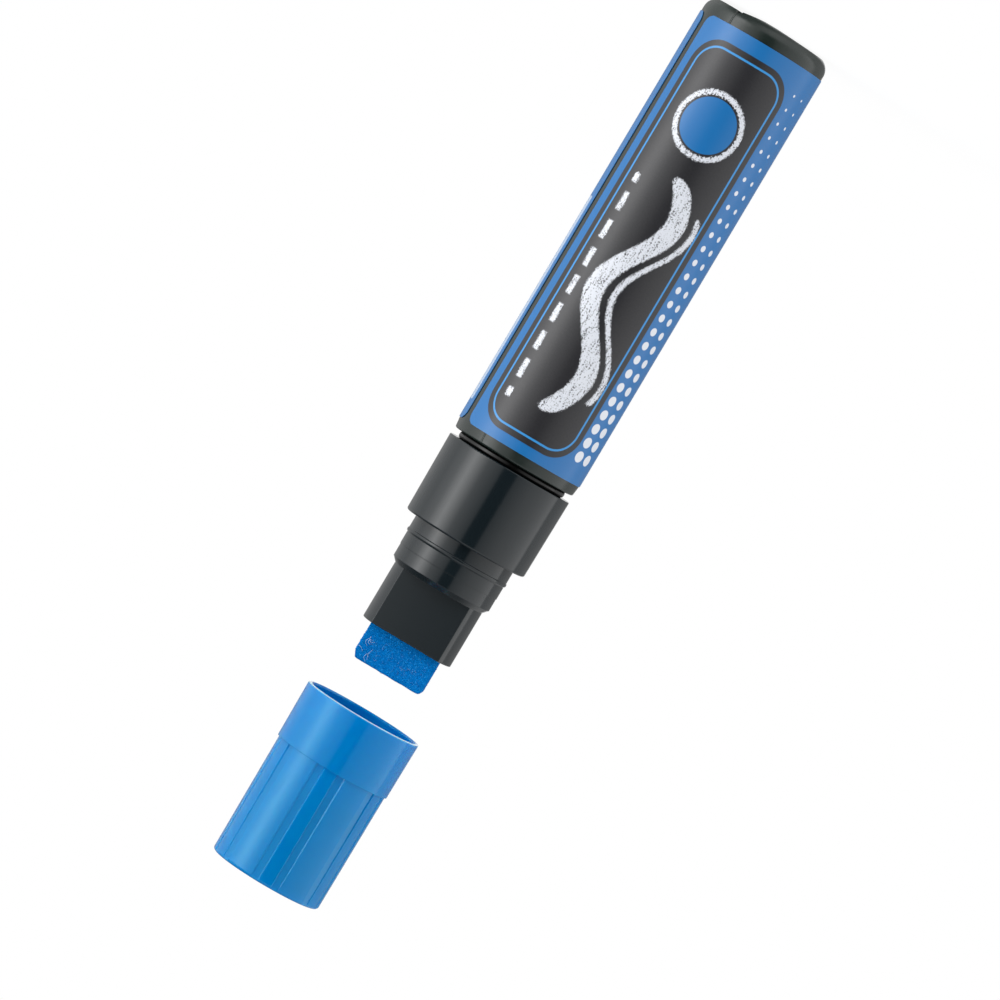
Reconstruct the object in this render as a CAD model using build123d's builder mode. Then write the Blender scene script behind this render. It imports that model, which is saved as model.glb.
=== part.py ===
from build123d import *

import os
from math import cos, pi, radians, sin, sqrt

# A wide-nib liquid chalk marker, with its pull-off cap drawn away in line with the nib.
# Millimetres. The marker stands on its flat tail: the origin is the middle of the tail,
# +Z runs along the axis towards the nib, and the wide faces of the nib look along Y.

# Barrel: a moulded bottle with a closed tail and a neck that goes into the collar
barrel_radius = 13.0
barrel_length = 94.2
barrel_wall = 1.2
tail_thickness = 2.4
tail_edge_radius = 2.8
shoulder_draw_in = 0.25
shoulder_edge_radius = 0.4
shoulder_wall = 1.6
shoulder_step = 2.4
bottle_neck_wall = 1.4
bottle_neck_length = 13.5

# Mould marks of the barrel: the pinched seam across the tail lies in a valley. One mould half leaves a slope
# beside it, and the other a narrow flat to stand on and a fall towards the rim. The seam ends in rim notches.
parting_angle = -58.5
pinch_valley_depth = 0.67
tail_slope = 0.034
tail_flat_distance = 4.6
tail_flat_width = 1.8
tail_fall = 0.055
pinch_groove_width = 1.0
pinch_groove_depth = 1.0
pinch_notch_height = 0.6
pinch_notch_radius = 0.7
pinch_notch_length = 1.8

# Snap bead that holds the collar on the bottle's neck
snap_distance = 7.4
snap_rise = 0.25
snap_length = 1.6

# Label: one wrap of printed film, with a bare strip of barrel between its ends
label_start = 3.75
label_length = 88.3
label_thickness = 0.12
glue_thickness = 0.02
label_corner_radius = 2.0
label_seam_width = 2.0
label_seam_angle = -28.3

# Rubber ring between the barrel's shoulder and the collar
seal_recess = 1.6
seal_height = 1.35
seal_edge_radius = 0.55

# Nib holder: collar, cap post with a bead, and nozzle with two flats
collar_length = 16.5
collar_inset = 0.02
collar_draft = 0.22
collar_tail_edge_radius = 0.25
collar_nib_edge_radius = 0.45
collar_clearance = 0.2
post_inset = 2.16
post_step_depth = 0.09
post_step_distance = 6.1
post_length = 8.7
post_chamfer_length = 1.0
bead_distance = 2.6
bead_length = 0.9
bead_rise = 0.18
nozzle_inset = 1.1
nozzle_length = 11.8
nozzle_edge_radius = 0.2
flat_depth = 3.35
flat_start = 0.05
flat_edge_radius = 0.15
chamber_wall = 1.6
chamber_length = 8.8

# Nib: a block of felt, cut square, with one corner worn off and one rounded
nib_side_cover = 2.0
nib_flat_cover = 1.9
nib_exposure = 7.4
nib_chamfer_width = 0.7
nib_chamfer_height = 1.4
nib_corner_radius = 0.9
nib_edge_radius = 0.4
nib_clearance = 0.2
nib_press_travel = 2.5

# Valve: housing with a seat in the bottle's mouth, plunger, washer, spring and perforated disc
valve_clearance = 0.2
valve_flange_thickness = 1.2
valve_tube_wall = 1.8
valve_tube_length = 13.0
seat_passage = 1.4
carrier_clearance = 1.0
carrier_thickness = 2.0
carrier_drop = 0.5
carrier_socket_depth = 1.2
port_radius = 1.1
port_count = 6
stem_radius = 1.6
stem_disc_clearance = 2.2
stem_disc_thickness = 1.4
stem_clearance = 0.15
gasket_overhang = 0.3
gasket_thickness = 1.2
retainer_thickness = 1.2
retainer_ledge = 0.6
retainer_clearance = 0.1
spring_clearance = 1.1
spring_wire_radius = 0.3
spring_turns = 5
spring_end_gap = 0.05

# Loose ball that stirs the ink
ball_radius = 4.0
ball_gap = 0.1

# Cap: plain band at the mouth, grip grooves in pairs below it, closed end
cap_gap = 8.3
cap_length = 36.4
cap_post_clearance = 0.5
cap_band_draft = 0.14
cap_band_length = 11.6
cap_band_step = 0.32
cap_body_draft = 0.13
cap_end_edge_radius = 0.7
cap_end_thickness = 1.3
cap_mouth_wall = 0.9
cap_mouth_bore_length = 10.6
cap_body_wall = 0.86
cap_mouth_edge_radius = 0.25
cap_lead_in = 0.3
cap_stop_gap = 0.2
grip_pairs = 6
groove_spacing_angle = 22.0
groove_width = 1.95
groove_floor_width = 1.4
groove_depth = 0.27
grip_turn = -3.6

# Liner cup inside the cap, which closes round the nozzle
liner_clearance = 0.05
liner_wall = 0.7
liner_end_thickness = 0.8
liner_overlap = 5.0

# Heights along the axis that follow from the sizes above
label_end = label_start + label_length
lip_height = barrel_length + bottle_neck_length
snap_height = barrel_length + snap_distance
collar_start = barrel_length + seal_height
collar_end = collar_start + collar_length
shelf_height = lip_height + valve_flange_thickness
chamber_end = shelf_height + chamber_length
post_end = collar_end + post_length
nozzle_start = post_end + post_chamfer_length
nozzle_end = nozzle_start + nozzle_length
nib_tip = nozzle_end + nib_exposure
nib_rear = chamber_end - carrier_drop
cap_mouth = nib_tip + cap_gap
cap_end = cap_mouth + cap_length
valve_tail = lip_height - valve_tube_length
retainer_top = valve_tail + retainer_thickness
disc_top = lip_height - gasket_thickness
disc_bottom = disc_top - stem_disc_thickness

# Radii that follow from the sizes above, from the barrel inwards
reservoir_radius = barrel_radius - barrel_wall
reservoir_edge_radius = tail_edge_radius - barrel_wall
shoulder_radius = barrel_radius - shoulder_draw_in
label_inner_radius = barrel_radius + glue_thickness
bottle_neck_radius = barrel_radius - shoulder_step
bottle_bore_radius = bottle_neck_radius - bottle_neck_wall
seal_outer_radius = barrel_radius - seal_recess
collar_tail_radius = barrel_radius - collar_inset
collar_nib_radius = collar_tail_radius - collar_draft
collar_bore_radius = bottle_neck_radius + collar_clearance
post_radius = collar_nib_radius - post_inset
chamber_radius = post_radius - chamber_wall
nozzle_radius = post_radius - nozzle_inset
flat_distance = nozzle_radius - flat_depth
nib_width = 2 * (nozzle_radius - nib_side_cover)
nib_thickness = 2 * (flat_distance - nib_flat_cover)
carrier_radius = chamber_radius - carrier_clearance
carrier_port_circle = (carrier_radius + stem_radius) / 2
valve_tube_radius = bottle_bore_radius - valve_clearance
valve_bore_radius = valve_tube_radius - valve_tube_wall
seat_hole_radius = stem_radius + seat_passage
stem_disc_radius = valve_bore_radius - stem_disc_clearance
gasket_radius = stem_disc_radius + gasket_overhang
retainer_bore_radius = valve_bore_radius + retainer_ledge
retainer_port_circle = (valve_bore_radius + stem_radius) / 2
spring_mean_radius = stem_radius + spring_clearance + spring_wire_radius
cap_mouth_bore_radius = post_radius + cap_post_clearance
cap_mouth_radius = cap_mouth_bore_radius + cap_mouth_wall
cap_band_end_radius = cap_mouth_radius - cap_band_draft
cap_body_radius = cap_band_end_radius - cap_band_step
cap_end_radius = cap_body_radius - cap_body_draft
cap_bore_radius = cap_end_radius - cap_body_wall


def radial_plane(angle):
    """The upright plane through the axis, whose x runs outwards at the given angle."""
    outwards = (cos(radians(angle)), sin(radians(angle)), 0)
    sideways = (sin(radians(angle)), -cos(radians(angle)), 0)
    return Plane(origin=(0, 0, 0), x_dir=outwards, z_dir=sideways)


def rim(piece, radius, height):
    """The round edges of a turned piece with this radius at this height."""
    near = 1e-4
    rounds = piece.edges().filter_by(GeomType.CIRCLE)
    return rounds.filter_by(
        lambda edge: abs(edge.radius - radius) < near and abs(edge.arc_center.Z - height) < near
    )


# Barrel
with BuildPart() as barrel:
    with BuildSketch(Plane.XZ):
        with BuildLine():
            Polyline(
                (0, 0),
                (barrel_radius, 0),
                (barrel_radius, label_end),
                (shoulder_radius, barrel_length),
                (bottle_neck_radius, barrel_length),
                (bottle_neck_radius, snap_height - snap_length / 2),
                (bottle_neck_radius + snap_rise, snap_height),
                (bottle_neck_radius, snap_height + snap_length / 2),
                (bottle_neck_radius, lip_height),
                (bottle_bore_radius, lip_height),
                (bottle_bore_radius, barrel_length - shoulder_wall),
                (reservoir_radius, barrel_length - shoulder_wall - reservoir_radius + bottle_bore_radius),
                (reservoir_radius, tail_thickness),
                (0, tail_thickness),
                close=True,
            )
        make_face()
    revolve(axis=Axis.Z)
    fillet(rim(barrel, barrel_radius, 0), tail_edge_radius)
    fillet(rim(barrel, reservoir_radius, tail_thickness), reservoir_edge_radius)
    fillet(rim(barrel, shoulder_radius, barrel_length), shoulder_edge_radius)
    beyond = 2 * barrel_radius
    flat_end = tail_flat_distance + tail_flat_width
    with BuildSketch(radial_plane(parting_angle + 90)):
        Polygon(
            (-tail_flat_distance, 0),
            (0, pinch_valley_depth),
            (beyond, pinch_valley_depth - tail_slope * beyond),
            (beyond, -beyond),
            (-tail_flat_distance, -beyond),
            align=None,
        )
        Polygon(
            (-flat_end, 0),
            (-beyond, tail_fall * (beyond - flat_end)),
            (-beyond, -beyond),
            (-flat_end, -beyond),
            align=None,
        )
    extrude(amount=barrel_radius, both=True, mode=Mode.SUBTRACT)
    with BuildSketch(Plane.XY):
        Rectangle(2 * barrel_radius, pinch_groove_width, rotation=parting_angle)
    extrude(amount=pinch_groove_depth, mode=Mode.SUBTRACT)
    for rim_side in (0, 180):
        outwards = radial_plane(parting_angle + rim_side).x_dir
        notch_foot = outwards * (barrel_radius - pinch_notch_length)
        with BuildSketch(Plane(origin=notch_foot, x_dir=(0, 0, 1), z_dir=outwards)):
            Rectangle(2 * pinch_notch_height, 2 * pinch_notch_radius)
            with Locations((pinch_notch_height, 0)):
                Circle(pinch_notch_radius)
        extrude(amount=2 * pinch_notch_length, mode=Mode.SUBTRACT)
barrel.part.label = "barrel"

# Printed film wrap, cut open along its seam, with rounded corners at both ends of the film
with BuildPart() as label_wrap:
    with BuildSketch(Plane.XY.offset(label_start)):
        Circle(label_inner_radius + label_thickness)
        Circle(label_inner_radius, mode=Mode.SUBTRACT)
    extrude(amount=label_length)
    seam_outwards = radial_plane(label_seam_angle).x_dir
    seam_middle = Vector(0, 0, label_start + label_length / 2)
    with BuildSketch(Plane(origin=seam_middle, x_dir=Vector(0, 0, 1).cross(seam_outwards), z_dir=seam_outwards)):
        Rectangle(label_seam_width + 2 * label_corner_radius, label_length)
        film_end_width = 4 * label_corner_radius
        for side in (1, -1):
            with Locations((side * (label_seam_width + film_end_width) / 2, 0)):
                RectangleRounded(film_end_width, label_length, label_corner_radius, mode=Mode.SUBTRACT)
    extrude(amount=2 * label_inner_radius, mode=Mode.SUBTRACT)
label_wrap.part.label = "label_wrap"

# Rubber ring in the gap under the collar
with BuildPart() as neck_seal_ring:
    with BuildSketch(Plane.XZ) as seal_section:
        with Locations((collar_bore_radius, barrel_length)):
            Rectangle(seal_outer_radius - collar_bore_radius, seal_height, align=(Align.MIN, Align.MIN))
        fillet(seal_section.vertices().group_by(Axis.X)[-1], seal_edge_radius)
    revolve(axis=Axis.Z)
neck_seal_ring.part.label = "neck_seal_ring"

# Nib holder
with BuildPart() as nib_holder:
    bead_start = collar_end + bead_distance
    bead_end = bead_start + bead_length
    post_middle_radius = post_radius - post_step_depth
    post_front_radius = post_middle_radius - post_step_depth
    post_step_height = collar_end + post_step_distance
    with BuildSketch(Plane.XZ):
        with BuildLine():
            Polyline(
                (post_middle_radius, bead_end),
                (post_middle_radius, post_step_height),
                (post_front_radius, post_step_height),
                (post_front_radius, post_end),
                (nozzle_radius, nozzle_start),
                (nozzle_radius, nozzle_end),
                (0, nozzle_end),
                (0, chamber_end),
                (chamber_radius, chamber_end),
                (chamber_radius, shelf_height),
                (collar_bore_radius, shelf_height),
                (collar_bore_radius, snap_height + snap_length / 2),
                (collar_bore_radius + snap_rise, snap_height),
                (collar_bore_radius, snap_height - snap_length / 2),
                (collar_bore_radius, collar_start),
                (collar_tail_radius, collar_start),
                (collar_nib_radius, collar_end),
                (post_radius, collar_end),
                (post_radius, bead_start),
            )
            ThreePointArc(
                (post_radius, bead_start),
                (post_radius + bead_rise, bead_start + bead_length / 2),
                (post_middle_radius, bead_end),
            )
        make_face()
    revolve(axis=Axis.Z)
    fillet(rim(nib_holder, collar_tail_radius, collar_start), collar_tail_edge_radius)
    fillet(rim(nib_holder, collar_nib_radius, collar_end), collar_nib_edge_radius)
    with BuildSketch(Plane.XY.offset(nozzle_start + flat_start)):
        for side in (1, -1):
            with Locations((0, side * (flat_distance + nozzle_radius / 2))):
                Rectangle(2 * nozzle_radius, nozzle_radius)
    extrude(amount=nozzle_length, mode=Mode.SUBTRACT)
    flat_edges = nib_holder.edges().filter_by(Axis.Z).filter_by(lambda edge: edge.center().Z > nozzle_start)
    fillet(flat_edges, flat_edge_radius)
    fillet(nib_holder.faces().sort_by(Axis.Z)[-1].edges(), nozzle_edge_radius)
    with BuildSketch(Plane.XY.offset(chamber_end)):
        RectangleRounded(
            nib_width + 2 * nib_clearance, nib_thickness + 2 * nib_clearance, nib_edge_radius + nib_clearance
        )
    extrude(amount=nozzle_end - chamber_end, mode=Mode.SUBTRACT)
nib_holder.part.label = "nib_holder"

# Felt nib
with BuildPart() as nib:
    with BuildSketch(Plane.XZ) as nib_outline:
        with BuildLine():
            Polyline(
                (-nib_width / 2, nib_rear),
                (nib_width / 2, nib_rear),
                (nib_width / 2, nib_tip - nib_chamfer_height),
                (nib_width / 2 - nib_chamfer_width, nib_tip),
                (-nib_width / 2, nib_tip),
                close=True,
            )
        make_face()
        fillet(nib_outline.vertices().group_by(Axis.Y)[-1].sort_by(Axis.X)[0], nib_corner_radius)
    extrude(amount=nib_thickness / 2, both=True)
    broad_faces = nib.faces().filter_by(Axis.Y)
    fillet(broad_faces.edges().filter_by(lambda edge: edge.center().Z > nib_rear), nib_edge_radius)
nib.part.label = "nib"

# Carrier disc that the nib rests on, pressed on the plunger
with BuildPart() as nib_carrier:
    carrier_bottom = nib_rear - carrier_thickness
    with BuildSketch(Plane.XY.offset(carrier_bottom)):
        Circle(carrier_radius)
        with PolarLocations(carrier_port_circle, port_count):
            Circle(port_radius, mode=Mode.SUBTRACT)
    extrude(amount=carrier_thickness)
    with BuildSketch(Plane.XY.offset(carrier_bottom)):
        Circle(stem_radius + stem_clearance)
    extrude(amount=carrier_socket_depth, mode=Mode.SUBTRACT)
nib_carrier.part.label = "nib_carrier"

# Valve housing, hung by its flange on the lip of the bottle
with BuildPart() as valve_body:
    with BuildSketch(Plane.XZ):
        with BuildLine():
            Polyline(
                (seat_hole_radius, lip_height),
                (valve_bore_radius, lip_height),
                (valve_bore_radius, retainer_top),
                (retainer_bore_radius, retainer_top),
                (retainer_bore_radius, valve_tail),
                (valve_tube_radius, valve_tail),
                (valve_tube_radius, lip_height),
                (bottle_neck_radius, lip_height),
                (bottle_neck_radius, shelf_height),
                (seat_hole_radius, shelf_height),
                close=True,
            )
        make_face()
    revolve(axis=Axis.Z)
valve_body.part.label = "valve_body"

# Plunger: rod through the seat, valve disc, and a guide rod inside the spring
with BuildPart() as valve_stem:
    stem_foot = retainer_top - retainer_thickness / 2
    with BuildSketch(Plane.XZ):
        with BuildLine():
            Polyline(
                (0, stem_foot),
                (stem_radius, stem_foot),
                (stem_radius, disc_bottom),
                (stem_disc_radius, disc_bottom),
                (stem_disc_radius, disc_top),
                (stem_radius, disc_top),
                (stem_radius, carrier_bottom + carrier_socket_depth),
                (0, carrier_bottom + carrier_socket_depth),
                close=True,
            )
        make_face()
    revolve(axis=Axis.Z)
valve_stem.part.label = "valve_stem"

# Rubber washer on the valve disc, which closes the seat
with BuildPart() as valve_gasket:
    with BuildSketch(Plane.XY.offset(disc_top)):
        Circle(gasket_radius)
        Circle(stem_radius + stem_clearance, mode=Mode.SUBTRACT)
    extrude(amount=gasket_thickness)
valve_gasket.part.label = "valve_gasket"

# Perforated disc that carries the spring and guides the plunger
with BuildPart() as spring_retainer:
    with BuildSketch(Plane.XY.offset(valve_tail)):
        Circle(retainer_bore_radius - retainer_clearance)
        Circle(stem_radius + 2 * stem_clearance, mode=Mode.SUBTRACT)
        with PolarLocations(retainer_port_circle, port_count):
            Circle(port_radius, mode=Mode.SUBTRACT)
    extrude(amount=retainer_thickness)
spring_retainer.part.label = "spring_retainer"

# Coil spring: a helix drawn as two tangent arcs to each quarter turn
coil_foot = retainer_top + spring_end_gap + spring_wire_radius
coil_height = disc_bottom - spring_end_gap - spring_wire_radius - coil_foot
coil_pitch = coil_height / spring_turns


def coil_point(turn):
    around = 2 * pi * turn
    return Vector(
        spring_mean_radius * cos(around), spring_mean_radius * sin(around), coil_foot + coil_pitch * turn
    )


def coil_direction(turn):
    around = 2 * pi * turn
    rise = coil_pitch / (2 * pi)
    return Vector(-spring_mean_radius * sin(around), spring_mean_radius * cos(around), rise).normalized()


with BuildPart() as valve_spring:
    with BuildLine() as coil_line:
        for quarter in range(4 * spring_turns):
            start = coil_point(quarter / 4)
            end = coil_point((quarter + 1) / 4)
            start_direction = coil_direction(quarter / 4)
            end_direction = coil_direction((quarter + 1) / 4)
            span = end - start
            both = start_direction + end_direction
            bend = 4 - both.dot(both)
            reach = (sqrt(span.dot(both) ** 2 + bend * span.dot(span)) - span.dot(both)) / bend
            before = start + start_direction * reach
            after = end - end_direction * reach
            meeting = (before + after) * 0.5
            TangentArc(start, meeting, tangent=start_direction)
            TangentArc(meeting, end, tangent=after - before)
    with BuildSketch(Plane(origin=coil_point(0), z_dir=coil_direction(0))):
        Circle(spring_wire_radius)
    sweep()
valve_spring.part.label = "valve_spring"

# Least gap between neighbouring coils, measured on points of the wire's centre line
points_per_turn = 48
coil_samples = [coil_point(step / points_per_turn) for step in range(spring_turns * points_per_turn + 1)]
coil_spacing = min(
    (far - near).length
    for place, near in enumerate(coil_samples)
    for far in coil_samples[place + points_per_turn // 2:]
)
print("least gap between the spring's coils", round(coil_spacing - 2 * spring_wire_radius, 3))

# Mixing ball, loose on the floor of the reservoir
with BuildPart() as mixing_ball:
    with Locations((0, 0, tail_thickness + ball_gap + ball_radius)):
        Sphere(ball_radius)
mixing_ball.part.label = "mixing_ball"

# Cap
with BuildPart() as cap_shell:
    cap_band_end = cap_mouth + cap_band_length
    cap_floor = cap_end - cap_end_thickness
    with BuildSketch(Plane.XZ):
        with BuildLine():
            Polyline(
                (cap_mouth_bore_radius + cap_lead_in, cap_mouth),
                (cap_mouth_radius, cap_mouth),
                (cap_band_end_radius, cap_band_end),
                (cap_body_radius, cap_band_end),
                (cap_end_radius, cap_end),
                (0, cap_end),
                (0, cap_floor),
                (cap_bore_radius, cap_floor),
                (cap_bore_radius, cap_mouth + cap_mouth_bore_length),
                (cap_mouth_bore_radius, cap_mouth + cap_mouth_bore_length),
                (cap_mouth_bore_radius, cap_mouth + cap_lead_in),
                close=True,
            )
        make_face()
    revolve(axis=Axis.Z)
    fillet(rim(cap_shell, cap_mouth_radius, cap_mouth), cap_mouth_edge_radius)
    fillet(rim(cap_shell, cap_end_radius, cap_end), cap_end_edge_radius)
    groove_floor = cap_body_radius - groove_depth
    groove_slope = (groove_width - groove_floor_width) / (2 * groove_depth)
    groove_mouth = cap_mouth_radius
    groove_mouth_width = groove_floor_width + 2 * groove_slope * (groove_mouth - groove_floor)
    with BuildSketch(Plane.XY.offset(cap_band_end)):
        for pair in range(grip_pairs):
            for side in (1, -1):
                around = grip_turn - 90 + pair * 360 / grip_pairs + side * groove_spacing_angle / 2
                with Locations(Location((0, 0, 0), (0, 0, around))):
                    Polygon(
                        (groove_floor, -groove_floor_width / 2),
                        (groove_mouth, -groove_mouth_width / 2),
                        (groove_mouth, groove_mouth_width / 2),
                        (groove_floor, groove_floor_width / 2),
                        align=None,
                    )
    extrude(amount=cap_length, mode=Mode.SUBTRACT)
cap_shell.part.label = "cap_shell"

# Liner cup, seated on the closed end of the cap
with BuildPart() as cap_inner_seal:
    liner_radius = cap_bore_radius - liner_clearance
    cap_closed_floor = collar_end + cap_stop_gap + cap_length - cap_end_thickness
    liner_length = cap_closed_floor - nozzle_end + liner_overlap
    liner_mouth = cap_floor - liner_length
    with BuildSketch(Plane.XZ):
        with BuildLine():
            Polyline(
                (liner_radius - liner_wall, liner_mouth),
                (liner_radius, liner_mouth),
                (liner_radius, cap_floor),
                (0, cap_floor),
                (0, cap_floor - liner_end_thickness),
                (liner_radius - liner_wall, cap_floor - liner_end_thickness),
                close=True,
            )
        make_face()
    revolve(axis=Axis.Z)
cap_inner_seal.part.label = "cap_inner_seal"

print("cap closes by", round(cap_mouth - collar_end - cap_stop_gap, 3))
print("ball rises by", round(valve_tail - nib_press_travel - 2 * ball_radius - tail_thickness - 2 * ball_gap, 3))

pieces = [
    barrel, label_wrap, neck_seal_ring, nib_holder, nib, nib_carrier, valve_body, valve_stem,
    valve_gasket, spring_retainer, valve_spring, mixing_ball, cap_shell, cap_inner_seal,
]
os.makedirs("parts", exist_ok=True)
for piece in pieces:
    export_step(piece.part, f"parts/{piece.part.label}.step")
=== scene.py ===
# Looks of a wide-nib liquid chalk marker, dressed on its CAD frame. Metres, in the CAD frame's axes:
# the marker stands on its tail, +Z runs to the nib, and -Y is the side that the camera sees.
import math
import random

import bmesh
import bpy
from mathutils import Matrix, Vector, noise


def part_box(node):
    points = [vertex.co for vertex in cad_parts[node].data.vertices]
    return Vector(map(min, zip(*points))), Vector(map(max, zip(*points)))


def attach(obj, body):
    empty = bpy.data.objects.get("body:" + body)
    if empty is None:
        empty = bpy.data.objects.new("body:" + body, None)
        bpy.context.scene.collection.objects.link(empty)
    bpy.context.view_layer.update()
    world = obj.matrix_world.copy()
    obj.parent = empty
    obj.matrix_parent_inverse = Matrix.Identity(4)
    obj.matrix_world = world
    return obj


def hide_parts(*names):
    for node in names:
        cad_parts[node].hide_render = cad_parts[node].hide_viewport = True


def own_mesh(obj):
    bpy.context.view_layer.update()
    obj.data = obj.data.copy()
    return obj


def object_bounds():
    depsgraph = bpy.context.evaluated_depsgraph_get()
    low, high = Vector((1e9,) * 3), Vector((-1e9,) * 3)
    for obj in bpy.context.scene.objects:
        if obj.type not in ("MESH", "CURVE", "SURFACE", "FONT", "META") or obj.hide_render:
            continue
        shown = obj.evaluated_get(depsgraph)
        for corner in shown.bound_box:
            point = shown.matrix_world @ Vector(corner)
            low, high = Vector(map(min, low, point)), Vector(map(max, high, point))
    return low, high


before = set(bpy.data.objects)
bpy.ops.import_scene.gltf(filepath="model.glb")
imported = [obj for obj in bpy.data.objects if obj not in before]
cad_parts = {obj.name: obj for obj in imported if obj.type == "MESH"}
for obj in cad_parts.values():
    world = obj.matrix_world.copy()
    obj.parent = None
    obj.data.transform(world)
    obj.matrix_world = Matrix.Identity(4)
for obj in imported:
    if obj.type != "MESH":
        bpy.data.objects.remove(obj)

cad_low, cad_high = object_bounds()
MM = 0.001
NEAR = 0.001 * MM                      # places closer than this count as one
FULL_TURN = 2 * math.pi

# Places on the solids
PARTING_ANGLE = math.radians(-58.5)    # the barrel's mould line, from +X towards +Y
FLAT_DEPTH_MM = 6.15                   # the nozzle's flats, from the axis
FLAT_FALL = 0.0036                     # their fall in mm, for each square mm of distance from their middle
CAP_MOUTH_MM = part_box("cap_shell")[0].z / MM

# Label print, in millimetres: round the barrel from the middle of its front towards -X, and along it from
# the tail. A panel has its centre, half its width and height, and the radius of its corners. The fine line
# of a slate panel is measured from its edge, less than zero inside.
LABEL_RADIUS_MM = 13.14
SEAM_ANGLE = math.radians(-61.7)
FRONT_SLATE = {"centre": (-0.4, 48.4), "half_size": (10.7, 41.6), "corner": 6.0}
FRONT_DOT = {"centre": (-0.4, 22.0), "half_size": (5.4, 5.4), "corner": 5.4}
WIDE_STROKE = {"centre": (0.4, 58.0), "half_size": (2.0, 25.0), "corner": 2.0}
THIN_STROKE = {"centre": (4.4, 58.0), "half_size": (0.6, 20.0), "corner": 0.6}
DASH_ROW = {"centre": (-7.4, 60.0), "half_size": (0.6, 24.0), "corner": 0.3}
DOT_FIELD = {"centre": (13.5, 48.0), "half_size": (3.0, 40.5), "corner": 0.5}
BACK_SLATE = {"centre": (48.0, 48.4), "half_size": (12.0, 41.0), "corner": 6.0}
HATCH_PATCH = {"centre": (48.0, 56.0), "half_size": (7.5, 24.0), "corner": 3.0}
BACK_DOT = {"centre": (48.0, 20.0), "half_size": (5.4, 5.4), "corner": 5.4}
SEAM_STRIP = {"centre": (64.6, 66.0), "half_size": (1.3, 22.0), "corner": 0.6}
SLATE_LINE = {"middle": -1.4, "half_width": 0.2}
CHALK_BLUR = 0.12

# Light round the marker: degrees from the camera's side towards +X, and the level there. STUDIO holds level
# with the marker, where its panels and the dark gap round the camera stand, and SOFT_LIGHT above and below
# them. The heights are degrees up, and the share of that light there.
STUDIO = (
    (-180, 1.0), (-170, 1.0), (-167, 0.2), (-113, 0.7), (-111, 1.7), (-53, 1.05), (-21, 0.45), (-19, 0.0),
    (5, 0.0), (7, 0.5), (33, 1.3), (58, 4.6), (78, 2.0), (100, 1.1), (140, 0.7), (167, 0.3), (170, 1.0),
    (180, 1.0),
)
SOFT_LIGHT = ((-180, 0.3), (-100, 1.15), (-40, 1.3), (0, 1.15), (65, 0.4), (130, 0.2), (180, 0.3))
PANEL_HEIGHT = ((-50, 0.0), (-36, 1.0), (16, 1.0), (28, 0.0))
SOFT_HEIGHT = ((-90, 1.0), (40, 1.0), (65, 0.25), (90, 0.25))
HIGHEST_LEVEL = 5.0

# Sockets of a Mix node, by number because it repeats their names for each kind of value
SHARE = 0
FLOAT_A, FLOAT_B, FLOAT_OUT = 2, 3, 0
VECTOR_A, VECTOR_B, VECTOR_OUT = 4, 5, 1
COLOUR_A, COLOUR_B, COLOUR_OUT = 6, 7, 2

# Nearly all values of a noise pattern lie between these
NOISE_LOW, NOISE_HIGH = 0.3, 0.7


def linear(hex_colour):
    """An sRGB hex colour as linear RGBA."""
    values = [int(hex_colour[place:place + 2], 16) / 255 for place in (1, 3, 5)]
    return (*[v / 12.92 if v <= 0.04045 else ((v + 0.055) / 1.055) ** 2.4 for v in values], 1.0)


def add_node(tree, kind, inputs=None, **settings):
    """Adds a node, sets it and links or fills its inputs, by name or by number."""
    node = tree.nodes.new(kind)
    for name, value in settings.items():
        setattr(node, name, value)
    for socket, value in (inputs or {}).items():
        if isinstance(value, bpy.types.NodeSocket):
            tree.links.new(value, node.inputs[socket])
        else:
            node.inputs[socket].default_value = value
    return node


# Moulded plastics and steel
def new_material(name):
    """An empty node material, and the point on the piece in millimetres."""
    material = bpy.data.materials.new(name)
    material.use_nodes = True
    tree = material.node_tree
    tree.nodes.clear()
    place = add_node(tree, "ShaderNodeTexCoord").outputs["Object"]
    in_mm = add_node(tree, "ShaderNodeVectorMath", {0: place, "Scale": 1 / MM}, operation="SCALE").outputs[0]
    return material, tree, in_mm


def finish_material(tree, **sockets):
    """A Principled surface with these inputs, joined to the material's output."""
    surface = add_node(tree, "ShaderNodeBsdfPrincipled", {
        name.replace("_", " "): value for name, value in sockets.items()
    })
    add_node(tree, "ShaderNodeOutputMaterial", {"Surface": surface.outputs[0]})


def clouded(tree, point, colour, deep_colour, cloud_mm):
    """A dyed colour that clouds softly between two shades."""
    cloud = add_node(tree, "ShaderNodeTexNoise", {"Vector": point, "Scale": 1 / cloud_mm, "Detail": 3.0})
    return add_node(tree, "ShaderNodeMix", {
        SHARE: cloud.outputs["Fac"], COLOUR_A: linear(deep_colour), COLOUR_B: linear(colour),
    }, data_type="RGBA").outputs[COLOUR_OUT]


def soft_edges(tree, radius_mm):
    """The small radius that every moulded edge has."""
    return add_node(tree, "ShaderNodeBevel", {"Radius": radius_mm * MM}, samples=6).outputs[0]


def mould_grain(tree, point, grain_mm, height_mm, below=(0, 0, 0)):
    """The fine skin that the mould leaves, as a height pattern and a bumped normal. It is drawn coarser than
    the real one, which is too fine to show."""
    grain = add_node(tree, "ShaderNodeTexNoise", {"Vector": point, "Scale": 1 / grain_mm, "Detail": 2.0})
    bump = add_node(tree, "ShaderNodeBump", {
        "Height": grain.outputs["Fac"], "Distance": height_mm * MM, "Normal": below,
    })
    return grain.outputs["Fac"], bump.outputs[0]


def varied(tree, pattern, middle, spread):
    """A roughness that follows a noise pattern."""
    return add_node(tree, "ShaderNodeMapRange", {
        "Value": pattern, "From Min": NOISE_LOW, "From Max": NOISE_HIGH,
        "To Min": middle - spread, "To Max": middle + spread,
    }).outputs[0]


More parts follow.
